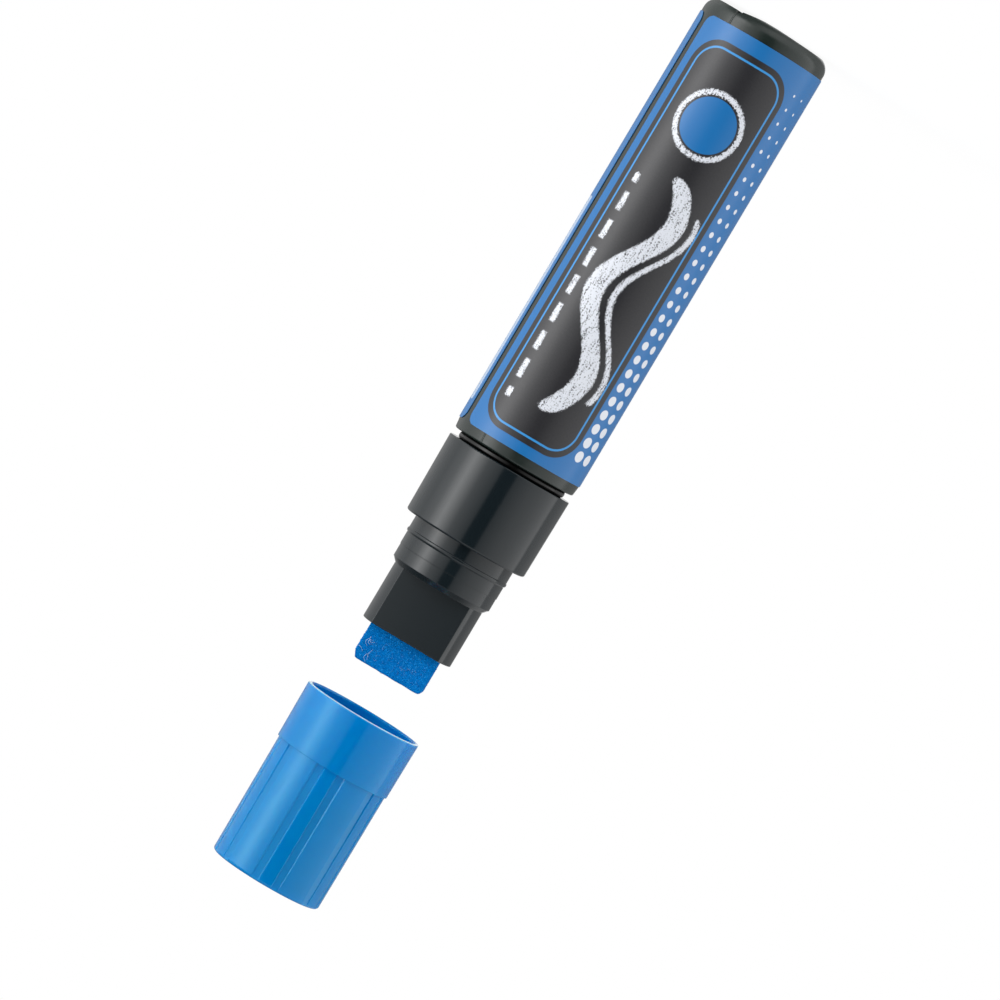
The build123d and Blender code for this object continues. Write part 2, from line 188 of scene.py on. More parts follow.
def matt_ledges(tree, roughness):
    """A roughness that turns matt on flat ends and ledges that look along +Z, whose mould isn't polished."""
    facing_up, matt = 0.98, 0.55
    facing = add_node(tree, "ShaderNodeNewGeometry").outputs["True Normal"]
    upward = add_node(tree, "ShaderNodeSeparateXYZ", {0: facing}).outputs["Z"]
    ledge = add_node(tree, "ShaderNodeMath", {0: upward, 1: facing_up}, operation="GREATER_THAN").outputs[0]
    return add_node(tree, "ShaderNodeMix", {
        SHARE: ledge, FLOAT_A: roughness, FLOAT_B: matt,
    }, data_type="FLOAT").outputs[FLOAT_OUT]


def blow_moulded_polyethylene():
    """Blow-moulded polyethylene: a satin skin with a soft orange peel and a fine raised line where the mould
    parts."""
    line_core_mm, line_edge_mm, line_height_mm = 0.06, 0.22, 0.14
    material, tree, point = new_material("blow_moulded_polyethylene")
    across = add_node(tree, "ShaderNodeVectorMath", {
        0: point, 1: (-math.sin(PARTING_ANGLE), math.cos(PARTING_ANGLE), 0),
    }, operation="DOT_PRODUCT").outputs["Value"]
    away = add_node(tree, "ShaderNodeMath", {0: across}, operation="ABSOLUTE").outputs[0]
    line = add_node(tree, "ShaderNodeMapRange", {
        "Value": away, "From Min": line_core_mm, "From Max": line_edge_mm, "To Min": 1.0, "To Max": 0.0,
    }, interpolation_type="SMOOTHSTEP").outputs[0]
    ridge = add_node(tree, "ShaderNodeBump", {
        "Height": line, "Distance": line_height_mm * MM, "Normal": soft_edges(tree, radius_mm=0.12),
    }).outputs[0]
    peel, normal = mould_grain(tree, point, grain_mm=0.9, height_mm=0.012, below=ridge)
    satin = varied(tree, peel, middle=0.24, spread=0.03)
    finish_material(
        tree, Base_Color=clouded(tree, point, "#1D2724", "#192320", cloud_mm=11.0),
        Roughness=matt_ledges(tree, satin), IOR=1.5, Normal=normal,
    )
    return material


def moulded_plastic(name, colour, deep_colour, roughness, grain_mm, grain_height_mm, ior):
    """Injection-moulded plastic: an even dyed colour, smooth with a faint skin from its polished mould."""
    material, tree, point = new_material(name)
    edges = soft_edges(tree, radius_mm=0.08)
    grain, normal = mould_grain(tree, point, grain_mm, grain_height_mm, below=edges)
    finish_material(
        tree, Base_Color=clouded(tree, point, colour, deep_colour, cloud_mm=9.0),
        Roughness=varied(tree, grain, roughness, spread=0.03), IOR=ior, Normal=normal,
    )
    return material


def moulded_holder_plastic():
    """Injection-moulded polypropylene: near black and glossy, but matter on the nozzle's flats. Their mould
    isn't polished, and they bulge by about a tenth of a millimetre, so that their grey falls off to one
    side."""
    near_flat_mm, flat_roughness = 0.03, 0.34
    material, tree, point = new_material("injection_moulded_polypropylene")
    axes = add_node(tree, "ShaderNodeSeparateXYZ", {0: point})
    depth = add_node(tree, "ShaderNodeMath", {0: axes.outputs["Y"]}, operation="ABSOLUTE").outputs[0]
    flat = add_node(tree, "ShaderNodeMath", {
        0: depth, 1: FLAT_DEPTH_MM, 2: near_flat_mm,
    }, operation="COMPARE").outputs[0]
    grain, normal = mould_grain(
        tree, point, grain_mm=0.7, height_mm=0.003, below=soft_edges(tree, radius_mm=0.12),
    )
    gloss = varied(tree, grain, middle=0.13, spread=0.02)
    roughness = add_node(tree, "ShaderNodeMix", {
        SHARE: flat, FLOAT_A: gloss, FLOAT_B: flat_roughness,
    }, data_type="FLOAT").outputs[FLOAT_OUT]
    squared = add_node(tree, "ShaderNodeMath", {0: axes.outputs["X"], 1: 2.0}, operation="POWER").outputs[0]
    bulge = add_node(tree, "ShaderNodeBump", {
        "Height": squared, "Distance": FLAT_FALL * MM, "Normal": normal,
    }, invert=True).outputs[0]
    bulged = add_node(tree, "ShaderNodeMix", {
        SHARE: flat, VECTOR_A: normal, VECTOR_B: bulge,
    }, data_type="VECTOR").outputs[VECTOR_OUT]
    finish_material(
        tree, Base_Color=clouded(tree, point, "#171F23", "#141C20", cloud_mm=9.0),
        Roughness=matt_ledges(tree, roughness), IOR=1.49, Normal=bulged,
    )
    return material


def moulded_cap_plastic():
    """Injection-moulded blue polypropylene: a satin sheen that the strong pigment keeps blue, a wall that
    lets some light through to the inside, a pale highlight painted on the front of the mouth's rim, where it
    is thinnest, and a matt closed end."""
    rim_mm, rim_highlight_level, front_mm = 0.22, 0.85, 2.0
    material, tree, point = new_material("injection_moulded_blue_polypropylene")
    axes = add_node(tree, "ShaderNodeSeparateXYZ", {0: point})
    # Painted highlight: the rim of the mouth is mixed towards a pale blue on its front (-Y) side only,
    # standing in for light that shines through the thin wall there.
    thin = add_node(tree, "ShaderNodeMapRange", {
        "Value": axes.outputs["Z"], "From Min": CAP_MOUTH_MM, "From Max": CAP_MOUTH_MM + rim_mm,
        "To Min": rim_highlight_level, "To Max": 0.0,
    }).outputs[0]
    front = add_node(tree, "ShaderNodeMapRange", {
        "Value": axes.outputs["Y"], "From Min": -front_mm, "From Max": front_mm,
        "To Min": 1.0, "To Max": 0.0,
    }).outputs[0]
    rim = add_node(tree, "ShaderNodeMath", {0: thin, 1: front}, operation="MULTIPLY").outputs[0]
    body = clouded(tree, point, "#007FC5", "#007BBF", cloud_mm=9.0)
    colour = add_node(tree, "ShaderNodeMix", {
        SHARE: rim, COLOUR_A: body, COLOUR_B: linear("#DCEAF8"),
    }, data_type="RGBA").outputs[COLOUR_OUT]
    grain, normal = mould_grain(
        tree, point, grain_mm=0.8, height_mm=0.004, below=soft_edges(tree, radius_mm=0.14),
    )
    sheen = varied(tree, grain, middle=0.14, spread=0.02)
    finish_material(
        tree, Base_Color=colour, Roughness=matt_ledges(tree, sheen), IOR=1.49,
        Specular_Tint=linear("#BCFFFF"), Subsurface_Weight=0.8, Subsurface_Radius=(0.4, 2.5, 3.2),
        Subsurface_Scale=1.0 * MM, Normal=normal,
    )
    return material


def metal(name, colour, roughness, streak_mm):
    """Steel: a bright metal with fine drawn or polished streaks that run round the axis."""
    finer_along_z = (1, 1, 6)
    material, tree, point = new_material(name)
    stretched = add_node(tree, "ShaderNodeVectorMath", {0: point, 1: finer_along_z}, operation="MULTIPLY")
    streaks = add_node(tree, "ShaderNodeTexNoise", {
        "Vector": stretched.outputs[0], "Scale": 1 / streak_mm, "Detail": 2.0,
    }).outputs["Fac"]
    finish_material(
        tree, Base_Color=linear(colour), Metallic=1.0,
        Roughness=varied(tree, streaks, roughness, spread=0.05),
    )
    return material


# Printed label
def panel_distance(tree, place, centre, half_size, corner):
    """Distance in millimetres from a panel with round corners, less than zero inside it."""
    off = add_node(tree, "ShaderNodeVectorMath", {0: place, 1: (*centre, 0)}, operation="SUBTRACT")
    folded = add_node(tree, "ShaderNodeVectorMath", {0: off.outputs[0]}, operation="ABSOLUTE").outputs[0]
    inner = (half_size[0] - corner, half_size[1] - corner, 0)
    beyond = add_node(tree, "ShaderNodeVectorMath", {0: folded, 1: inner}, operation="SUBTRACT").outputs[0]
    outside = add_node(tree, "ShaderNodeVectorMath", {
        0: beyond, 1: (0, 0, 0),
    }, operation="MAXIMUM").outputs[0]
    length = add_node(tree, "ShaderNodeVectorMath", {0: outside}, operation="LENGTH").outputs["Value"]
    sides = add_node(tree, "ShaderNodeSeparateXYZ", {0: beyond})
    nearer = add_node(tree, "ShaderNodeMath", {
        0: sides.outputs["X"], 1: sides.outputs["Y"],
    }, operation="MAXIMUM").outputs[0]
    inside = add_node(tree, "ShaderNodeMath", {0: nearer, 1: 0.0}, operation="MINIMUM").outputs[0]
    total = add_node(tree, "ShaderNodeMath", {0: length, 1: inside}, operation="ADD").outputs[0]
    return add_node(tree, "ShaderNodeMath", {0: total, 1: corner}, operation="SUBTRACT").outputs[0]


def within(tree, distance, edge=0.0, blur=0.06):
    """1 where a distance is under the edge, with a soft border."""
    return add_node(tree, "ShaderNodeMapRange", {
        "Value": distance, "From Min": edge - blur, "From Max": edge + blur, "To Min": 1.0, "To Max": 0.0,
    }, interpolation_type="SMOOTHSTEP").outputs[0]


def outlined(tree, distance, middle, half_width):
    """1 on a line that keeps a set distance from a shape's edge."""
    away = add_node(tree, "ShaderNodeMath", {0: distance, 1: middle}, operation="SUBTRACT").outputs[0]
    size = add_node(tree, "ShaderNodeMath", {0: away}, operation="ABSOLUTE").outputs[0]
    return within(tree, size, half_width)


def chalked(tree, mark, dust):
    """A chalk mark: its area, broken up by the dry grain of the board."""
    return add_node(tree, "ShaderNodeMath", {0: mark, 1: dust}, operation="MULTIPLY").outputs[0]


def unrolled(tree, point):
    """The film laid flat: millimetres round the barrel, and along it."""
    axes = add_node(tree, "ShaderNodeSeparateXYZ", {0: point})
    back_x, back_y = (
        add_node(tree, "ShaderNodeMath", {0: axes.outputs[axis], 1: -1.0}, operation="MULTIPLY").outputs[0]
        for axis in ("X", "Y")
    )
    angle = add_node(tree, "ShaderNodeMath", {0: back_x, 1: back_y}, operation="ARCTAN2").outputs[0]
    turned = add_node(tree, "ShaderNodeMath", {
        0: angle, 1: FULL_TURN + SEAM_ANGLE, 2: SEAM_ANGLE,
    }, operation="WRAP").outputs[0]
    round_mm = add_node(tree, "ShaderNodeMath", {
        0: turned, 1: LABEL_RADIUS_MM,
    }, operation="MULTIPLY").outputs[0]
    return round_mm, axes.outputs["Z"]


def dry_chalk(tree, place):
    """Printed chalk: where it covers, in streaks along the stroke that the board's tooth breaks up, and by
    how many millimetres its edges wander."""
    streak_mm, tooth_mm, wander_mm = 0.55, 0.3, 0.3
    streak_stretch = (1.0, 0.16, 1.0)
    bare, covered = 0.78, 0.96
    long_grain = add_node(tree, "ShaderNodeVectorMath", {0: place, 1: streak_stretch}, operation="MULTIPLY")
    streaks = add_node(tree, "ShaderNodeTexNoise", {
        "Vector": long_grain.outputs[0], "Scale": 1 / streak_mm, "Detail": 4.0, "Roughness": 0.7,
    }).outputs["Fac"]
    tooth = add_node(tree, "ShaderNodeTexNoise", {
        "Vector": place, "Scale": 1 / tooth_mm, "Detail": 2.0,
    }).outputs["Fac"]
    grain = add_node(tree, "ShaderNodeMath", {0: streaks, 1: tooth}, operation="ADD").outputs[0]
    dust = add_node(tree, "ShaderNodeMapRange", {
        "Value": grain, "From Min": bare, "From Max": covered, "To Min": 0.0, "To Max": 1.0,
    }).outputs[0]
    wander = add_node(tree, "ShaderNodeMapRange", {
        "Value": tooth, "From Min": NOISE_LOW, "From Max": NOISE_HIGH,
        "To Min": -wander_mm, "To Max": wander_mm,
    }).outputs[0]
    return dust, wander


def front_print(tree, round_mm, along_mm, place, dust, wander):
    """Front: slate panel, fine line inside it, colour dot with a chalk ring, a chalk wave and a row of
    dashes. Each is given as its area and the name of its ink."""
    wave_length_mm, wave_swing_mm = 33.0, 3.6
    ring_middle_mm, ring_half_mm = 1.0, 0.5
    half_pitch_mm, half_dash_mm, dash_blur_mm = 3.0, 1.9, 0.2
    slate = panel_distance(tree, place, **FRONT_SLATE)
    dot = panel_distance(tree, place, **FRONT_DOT)
    swing = add_node(tree, "ShaderNodeMath", {
        0: along_mm, 1: FULL_TURN / wave_length_mm,
    }, operation="MULTIPLY").outputs[0]
    wave = add_node(tree, "ShaderNodeMath", {0: swing}, operation="SINE").outputs[0]
    bend = add_node(tree, "ShaderNodeMath", {0: wave, 1: wave_swing_mm}, operation="MULTIPLY").outputs[0]
    unbent = add_node(tree, "ShaderNodeMath", {0: round_mm, 1: bend}, operation="SUBTRACT").outputs[0]
    wave_place = add_node(tree, "ShaderNodeCombineXYZ", {"X": unbent, "Y": along_mm}).outputs[0]
    rough_dot, rough_wide, rough_thin, rough_row = (
        add_node(tree, "ShaderNodeMath", {0: distance, 1: wander}, operation="ADD").outputs[0]
        for distance in (
            dot,
            panel_distance(tree, wave_place, **WIDE_STROKE),
            panel_distance(tree, wave_place, **THIN_STROKE),
            panel_distance(tree, place, **DASH_ROW),
        )
    )
    beat = add_node(tree, "ShaderNodeMath", {0: along_mm, 1: half_pitch_mm}, operation="PINGPONG").outputs[0]
    dashes = add_node(tree, "ShaderNodeMath", {
        0: within(tree, rough_row, blur=CHALK_BLUR), 1: within(tree, beat, half_dash_mm, dash_blur_mm),
    }, operation="MULTIPLY").outputs[0]
    return (
        (within(tree, slate), "slate"),
        (outlined(tree, slate, **SLATE_LINE), "line"),
        (within(tree, dot), "blue"),
        (chalked(tree, outlined(tree, rough_dot, ring_middle_mm, ring_half_mm), dust), "white"),
        (chalked(tree, within(tree, rough_wide, blur=CHALK_BLUR), dust), "white"),
        (chalked(tree, within(tree, rough_thin, blur=CHALK_BLUR), dust), "white"),
        (chalked(tree, dashes, dust), "white"),
    )


def side_print(tree, along_mm, place):
    """Right side: dots that grow towards the nib."""
    pitch_mm = 3.0
    first_mm, last_mm = 8.0, 90.0
    smallest_mm, largest_mm = 0.25, 1.15
    middle = (pitch_mm / 2, pitch_mm / 2, 0)
    spread = add_node(tree, "ShaderNodeVectorMath", {0: place, 1: middle}, operation="ADD").outputs[0]
    cell = add_node(tree, "ShaderNodeVectorMath", {
        0: spread, 1: (pitch_mm, pitch_mm, 1.0),
    }, operation="MODULO").outputs[0]
    centred = add_node(tree, "ShaderNodeVectorMath", {0: cell, 1: middle}, operation="SUBTRACT").outputs[0]
    apart = add_node(tree, "ShaderNodeVectorMath", {0: centred}, operation="LENGTH").outputs["Value"]
    radius = add_node(tree, "ShaderNodeMapRange", {
        "Value": along_mm, "From Min": first_mm, "From Max": last_mm,
        "To Min": smallest_mm, "To Max": largest_mm,
    }).outputs[0]
    gap = add_node(tree, "ShaderNodeMath", {0: apart, 1: radius}, operation="SUBTRACT").outputs[0]
    dots = add_node(tree, "ShaderNodeMath", {
        0: within(tree, gap), 1: within(tree, panel_distance(tree, place, **DOT_FIELD)),
    }, operation="MULTIPLY").outputs[0]
    return ((dots, "white"),)


def back_print(tree, place, dust):
    """Back: a second slate panel with a hatched chalk patch and a dot, and a pale strip by the seam."""
    half_pitch_mm, half_line_mm, line_blur_mm, patch_blur_mm = 1.2, 0.42, 0.2, 0.4
    slant_direction = (0.7071, 0.7071, 0)
    slate = panel_distance(tree, place, **BACK_SLATE)
    slant = add_node(tree, "ShaderNodeVectorMath", {0: place, 1: slant_direction}, operation="DOT_PRODUCT")
    hatch = add_node(tree, "ShaderNodeMath", {
        0: slant.outputs["Value"], 1: half_pitch_mm,
    }, operation="PINGPONG").outputs[0]
    patch = within(tree, panel_distance(tree, place, **HATCH_PATCH), blur=patch_blur_mm)
    hatched = add_node(tree, "ShaderNodeMath", {
        0: within(tree, hatch, half_line_mm, line_blur_mm), 1: patch,
    }, operation="MULTIPLY").outputs[0]
    return (
        (within(tree, slate), "slate"),
        (outlined(tree, slate, **SLATE_LINE), "line"),
        (chalked(tree, hatched, dust), "white"),
        (within(tree, panel_distance(tree, place, **BACK_DOT)), "blue"),
        (within(tree, panel_distance(tree, place, **SEAM_STRIP)), "pale"),
    )


def printed_film():
    """Printed polyester film: flat inks under a satin varnish, with the fine screen of the print in the dark
    ink, drawn coarse enough to show. The design is plain: slate panels with a chalk wave and a colour dot,
    and a field of dots on the blue ground."""
    screen_mm = 0.35
    material, tree, point = new_material("printed_polyester_film")
    round_mm, along_mm = unrolled(tree, point)
    place = add_node(tree, "ShaderNodeCombineXYZ", {"X": round_mm, "Y": along_mm}).outputs[0]
    dust, wander = dry_chalk(tree, place)
    screen = add_node(tree, "ShaderNodeTexNoise", {
        "Vector": place, "Scale": 1 / screen_mm, "Detail": 3.0, "Roughness": 0.7,
    }).outputs["Fac"]
    slate_ink = add_node(tree, "ShaderNodeMix", {
        SHARE: screen, COLOUR_A: linear("#1B1B1D"), COLOUR_B: linear("#313135"),
    }, data_type="RGBA").outputs[COLOUR_OUT]
    inks = {
        "slate": slate_ink, "line": linear("#3691D6"), "blue": linear("#196EB0"), "white": linear("#E2E6EE"),
        "pale": linear("#B4C8E2"),
    }
    colour = clouded(tree, point, "#1B70B3", "#186CAD", cloud_mm=14.0)
    for area, ink in (
        *front_print(tree, round_mm, along_mm, place, dust, wander),
        *side_print(tree, along_mm, place),
        *back_print(tree, place, dust),
    ):
        colour = add_node(tree, "ShaderNodeMix", {
            SHARE: area, COLOUR_A: colour, COLOUR_B: inks[ink],
        }, data_type="RGBA").outputs[COLOUR_OUT]
    skin, normal = mould_grain(tree, point, grain_mm=0.45, height_mm=0.002)
    varnish = varied(tree, skin, middle=0.31, spread=0.03)
    finish_material(tree, Base_Color=colour, Roughness=varnish, IOR=1.5, Normal=normal)
    return material


# Felt nib
def needled_felt():
    """Needled polyester felt, wet with blue ink: a deep, mottled blue without gloss, with paler fibre ends,
    which are drawn coarse enough to show."""
    mottle_mm, fleck_mm, fleck_height_mm = 0.9, 0.3, 0.2
    fleck_from, fleck_to, fleck_paleness = 0.57, 0.7, 0.8
    material, tree, point = new_material("needled_felt")
    mottle = add_node(tree, "ShaderNodeTexNoise", {
        "Vector": point, "Scale": 1 / mottle_mm, "Detail": 4.0, "Roughness": 0.75,
    }).outputs["Fac"]
    fleck = add_node(tree, "ShaderNodeTexNoise", {
        "Vector": point, "Scale": 1 / fleck_mm, "Detail": 3.0, "Distortion": 1.0,
    }).outputs["Fac"]
    body = add_node(tree, "ShaderNodeMix", {
        SHARE: mottle, COLOUR_A: linear("#00509A"), COLOUR_B: linear("#0082D6"),
    }, data_type="RGBA").outputs[COLOUR_OUT]
    pale = add_node(tree, "ShaderNodeMapRange", {
        "Value": fleck, "From Min": fleck_from, "From Max": fleck_to,
        "To Min": 0.0, "To Max": fleck_paleness,
    }).outputs[0]
    colour = add_node(tree, "ShaderNodeMix", {
        SHARE: pale, COLOUR_A: body, COLOUR_B: linear("#349CE4"),
    }, data_type="RGBA").outputs[COLOUR_OUT]
    bump = add_node(tree, "ShaderNodeBump", {"Height": fleck, "Distance": fleck_height_mm * MM})
    finish_material(
        tree, Base_Color=colour, Roughness=varied(tree, mottle, middle=0.8, spread=0.08), IOR=1.45,
        Specular_IOR_Level=0.03, Normal=bump.outputs[0],
    )
    return material


def fibre_material(name, colour, deep_colour):
    """Loose polyester fibre: thin, pale where the ink hasn't soaked in."""
    material, tree, point = new_material(name)
    finish_material(
        tree, Base_Color=clouded(tree, point, colour, deep_colour, cloud_mm=0.6), Roughness=0.6, IOR=1.45,
    )
    return material


def put_in_scene(name, mesh, material, body):
    """A new piece from a mesh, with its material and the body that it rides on."""
    mesh.materials.clear()
    mesh.materials.append(material)
    piece = bpy.data.objects.new(name, mesh)
    bpy.context.scene.collection.objects.link(piece)
    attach(piece, body)
    return piece


def everything(shape):
    """All that an operator may cut or wind."""
    return shape.verts[:] + shape.edges[:] + shape.faces[:]


def cut_felt_block(low, high):
    """The nib's block, cut square, with one tip corner worn off, one rounded and its edges softened."""
    worn, rounded, softened = 0.7 * MM, 0.9 * MM, 0.4 * MM
    wear_direction = (2, 0, 1)
    sharp_angle = 0.4
    shape = bmesh.new()
    bmesh.ops.create_cube(shape, size=1.0)
    bmesh.ops.scale(shape, vec=high - low, verts=shape.verts)
    bmesh.ops.translate(shape, vec=(low + high) / 2, verts=shape.verts)
    bmesh.ops.bisect_plane(
        shape, geom=everything(shape), plane_co=(high.x - worn, 0, high.z), plane_no=wear_direction,
        clear_outer=True,
    )
    bmesh.ops.contextual_create(shape, geom=[edge for edge in shape.edges if edge.is_boundary])
    round_corner = [
        edge for edge in shape.edges
        if all(abs(vert.co.x - low.x) < NEAR and abs(vert.co.z - high.z) < NEAR for vert in edge.verts)
    ]
    bmesh.ops.bevel(
        shape, geom=round_corner, offset=rounded, affect="EDGES", segments=5, profile=0.5, material=-1,
    )
    shape.normal_update()
    sharp = [
        edge for edge in shape.edges
        if edge.calc_face_angle(0) > sharp_angle and any(vert.co.z > low.z + NEAR for vert in edge.verts)
    ]
    bmesh.ops.bevel(shape, geom=sharp, offset=softened, affect="EDGES", segments=3, profile=0.5, material=-1)
    return shape


def cut_for_nap(shape, low, high):
    """Cuts the block's skin by planes, close enough for a nap, and along Z only near the tip."""
    step, tip_length = 0.36 * MM, 9.0 * MM
    for axis, start in ((0, low.x), (1, low.y), (2, high.z - tip_length)):
        across = Vector((0, 0, 0))
        across[axis] = 1
        cut = start + step
        while cut < high[axis] - NEAR:
            bmesh.ops.bisect_plane(
                shape, geom=everything(shape), dist=NEAR, plane_co=across * cut, plane_no=across,
            )
            cut += step


def raise_nap(shape, tip_height):
    """Draws the skin that shows in by an uneven depth, so that the felt keeps within its block."""
    napped_length, coarse_grain, fine_grain = 7.6 * MM, 1.6 * MM, 0.5 * MM
    nap_mm = 0.05
    fine_offset = Vector((7.3, 1.9, 4.1))
    moves = {}
    for vert in shape.verts:
        if vert.co.z > tip_height - napped_length:
            coarse = noise.noise(vert.co / coarse_grain)
            fine = noise.noise(vert.co / fine_grain + fine_offset)
            moves[vert] = vert.normal * MM * (nap_mm * coarse + nap_mm * fine - 2 * nap_mm)
    for vert, move in moves.items():
        vert.co += move


def make_felt_nib():
    """The felt block with its nap."""
    low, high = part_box("nib")
    shape = cut_felt_block(low, high)
    cut_for_nap(shape, low, high)
    bmesh.ops.recalc_face_normals(shape, faces=shape.faces)
    shape.normal_update()
    raise_nap(shape, high.z)
    for face in shape.faces:
        face.smooth = True
    mesh = bpy.data.meshes.new("felt_nib")
    shape.to_mesh(mesh)
    shape.free()
    piece = put_in_scene("felt_nib", mesh, needled_felt(), "writing_tip")
    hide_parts("nib")


def make_fibres(name, material, count, seed, sides, region_mm, length_mm, curl, thickness_mm, lift_mm):
    """Loose fibre ends that lie on the felt, on sides given as axis, direction and weight, within a region
    measured from the middle of the nib's tip. Each is lifted in its middle, and its ends lie just under the
    block's face."""
    stretches = 4
    sunk_mm = 0.06
    low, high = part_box("nib")
    tip = Vector(((low.x + high.x) / 2, (low.y + high.y) / 2, high.z))
    draw = random.Random(seed)
    curve = bpy.data.curves.new(name + "_line", "CURVE")
    curve.dimensions = "3D"
    curve.bevel_depth = thickness_mm / 2 * MM
    curve.bevel_resolution = 0
    curve.resolution_u = 2
    curve.use_fill_caps = True
    for _ in range(count):
        axis, direction, _weight = draw.choices(sides, weights=[side[2] for side in sides])[0]
        spot = tip + MM * Vector([draw.uniform(near, far) for near, far in zip(*region_mm)])
        spot[axis] = (high if direction > 0 else low)[axis]
        outward, across, along = (
            Vector([float(place == turn % 3) for place in range(3)]) for turn in (axis, axis + 1, axis + 2)
        )
        heading = draw.uniform(0, FULL_TURN)
        step = draw.uniform(*length_mm) * MM / stretches
        bend = draw.uniform(-curl, curl)
        spline = curve.splines.new("NURBS")
        spline.points.add(stretches)
        for place, knot in enumerate(spline.points):
            raised = outward * direction * MM * (lift_mm * math.sin(math.pi * place / stretches) - sunk_mm)
            knot.co = (*(spot + raised), 1.0)
            heading += bend
            spot = spot + (across * math.cos(heading) + along * math.sin(heading)) * step
        spline.order_u = 3
        spline.use_endpoint_u = True
    holder = bpy.data.objects.new(name + "_line", curve)
    bpy.context.scene.collection.objects.link(holder)
    mesh = bpy.data.meshes.new_from_object(holder)
    bpy.data.objects.remove(holder)
    bpy.data.curves.remove(curve)
    mesh.name = name
    put_in_scene(name, mesh, material, "writing_tip")


# Valve spring and the other solids
def make_valve_spring():
    """The coil spring under the valve: one wire wound round the plunger."""
    low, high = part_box("valve_spring")
    wire_radius = 0.3 * MM
    turns = 5
    steps = 40 * turns
    coil_radius = high.x - wire_radius
    rise = high.z - low.z - 2 * wire_radius
    lean = math.atan2(rise, FULL_TURN * coil_radius * turns)
    shape = bmesh.new()
    bmesh.ops.create_circle(shape, cap_ends=True, radius=wire_radius, segments=12)
    bmesh.ops.rotate(shape, verts=shape.verts, matrix=Matrix.Rotation(lean - math.pi / 2, 3, "X"))
    bmesh.ops.translate(shape, verts=shape.verts, vec=(coil_radius, 0, low.z + wire_radius))
    bmesh.ops.spin(
        shape, geom=everything(shape), axis=(0, 0, 1), dvec=(0, 0, rise / steps), angle=FULL_TURN * turns,
        steps=steps,
    )
    bmesh.ops.recalc_face_normals(shape, faces=shape.faces)
    for face in shape.faces:
        face.smooth = len(face.verts) == 4
    mesh = bpy.data.meshes.new("coil_spring")
    shape.to_mesh(mesh)
    shape.free()
    wire = metal("drawn_spring_steel", "#A9A9AC", roughness=0.28, streak_mm=0.15)
    piece = put_in_scene("coil_spring", mesh, wire, "marker")
    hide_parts("valve_spring")
    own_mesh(piece)


def dress_nodes():
    """Gives the CAD solids that stay their materials."""
    liner_plastic = moulded_plastic(
        "moulded_blue_polyethylene", "#0A66B6", "#0860AE",
        roughness=0.38, grain_mm=0.6, grain_height_mm=0.005, ior=1.5,
    )
    natural_plastic = moulded_plastic(
        "natural_polypropylene", "#DEDED6", "#D4D4CB",
        roughness=0.35, grain_mm=0.6, grain_height_mm=0.005, ior=1.49,
    )
    rubber = moulded_plastic(
        "moulded_nitrile_rubber", "#070807", "#050505",
        roughness=0.24, grain_mm=0.5, grain_height_mm=0.004, ior=1.42,
    )
    for node_name, material in {
        "barrel": blow_moulded_polyethylene(),
        "label_wrap": printed_film(),
        "neck_seal_ring": rubber,
        "nib_holder": moulded_holder_plastic(),
        "valve_body": natural_plastic,
        "spring_retainer": natural_plastic,
        "nib_carrier": natural_plastic,
        "valve_stem": natural_plastic,
        "valve_gasket": rubber,
        "mixing_ball": metal("polished_bearing_steel", "#C2C2C4", roughness=0.09, streak_mm=0.6),
        "cap_shell": moulded_cap_plastic(),
        "cap_inner_seal": liner_plastic,
    }.items():
        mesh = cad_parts[node_name].data
        mesh.materials.clear()
        mesh.materials.append(material)


# Stage
def make_floor():
    """A pale paper floor under the tail that only the camera sees. It shows the marker's soft shadow and is
    white towards its rim."""
    radius, gap = 0.4, 0.05 * MM
    shadow_radius, white_radius = 0.1 * radius, 0.95 * radius
    floor_mesh = bpy.data.meshes.new("floor")
    shape = bmesh.new()
    bmesh.ops.create_circle(shape, cap_ends=True, radius=radius, segments=96)
    bmesh.ops.translate(shape, verts=shape.verts, vec=(0, 0, cad_low.z - gap))
    shape.to_mesh(floor_mesh)
    shape.free()
    floor = bpy.data.objects.new("floor", floor_mesh)
    bpy.context.scene.collection.objects.link(floor)
    floor.visible_diffuse = floor.visible_glossy = floor.visible_transmission = floor.visible_shadow = False
    material, tree, point = new_material("pale_paper_floor")
    away = add_node(tree, "ShaderNodeVectorMath", {0: point}, operation="LENGTH").outputs["Value"]
    far = add_node(tree, "ShaderNodeMapRange", {
        "Value": away, "From Min": shadow_radius / MM, "From Max": white_radius / MM,
        "To Min": 0.0, "To Max": 1.0,
    }, interpolation_type="SMOOTHSTEP").outputs[0]
    paper = add_node(tree, "ShaderNodeBsdfDiffuse", {"Color": linear("#6A6A6A")})
    glow = add_node(tree, "ShaderNodeEmission", {"Strength": 0.92})
    near_floor = add_node(tree, "ShaderNodeAddShader", {0: paper.outputs[0], 1: glow.outputs[0]})
    white = add_node(tree, "ShaderNodeEmission", {"Strength": 1.0})
    both = add_node(tree, "ShaderNodeMixShader", {0: far, 1: near_floor.outputs[0], 2: white.outputs[0]})
    add_node(tree, "ShaderNodeOutputMaterial", {"Surface": both.outputs[0]})
    floor_mesh.materials.append(material)


def light_along(tree, value, stops, peak):
    """A level that follows a value along straight stretches between stops."""
    node = add_node(tree, "ShaderNodeValToRGB", {0: value})
    while len(node.color_ramp.elements) < len(stops):
        node.color_ramp.elements.new(0.5)
    for stop, (position, level) in zip(node.color_ramp.elements, stops):
        stop.position = position
        stop.color = (level / peak, level / peak, level / peak, 1.0)
    scaled = add_node(tree, "ShaderNodeMath", {0: node.outputs["Color"], 1: peak}, operation="MULTIPLY")
    return scaled.outputs[0]


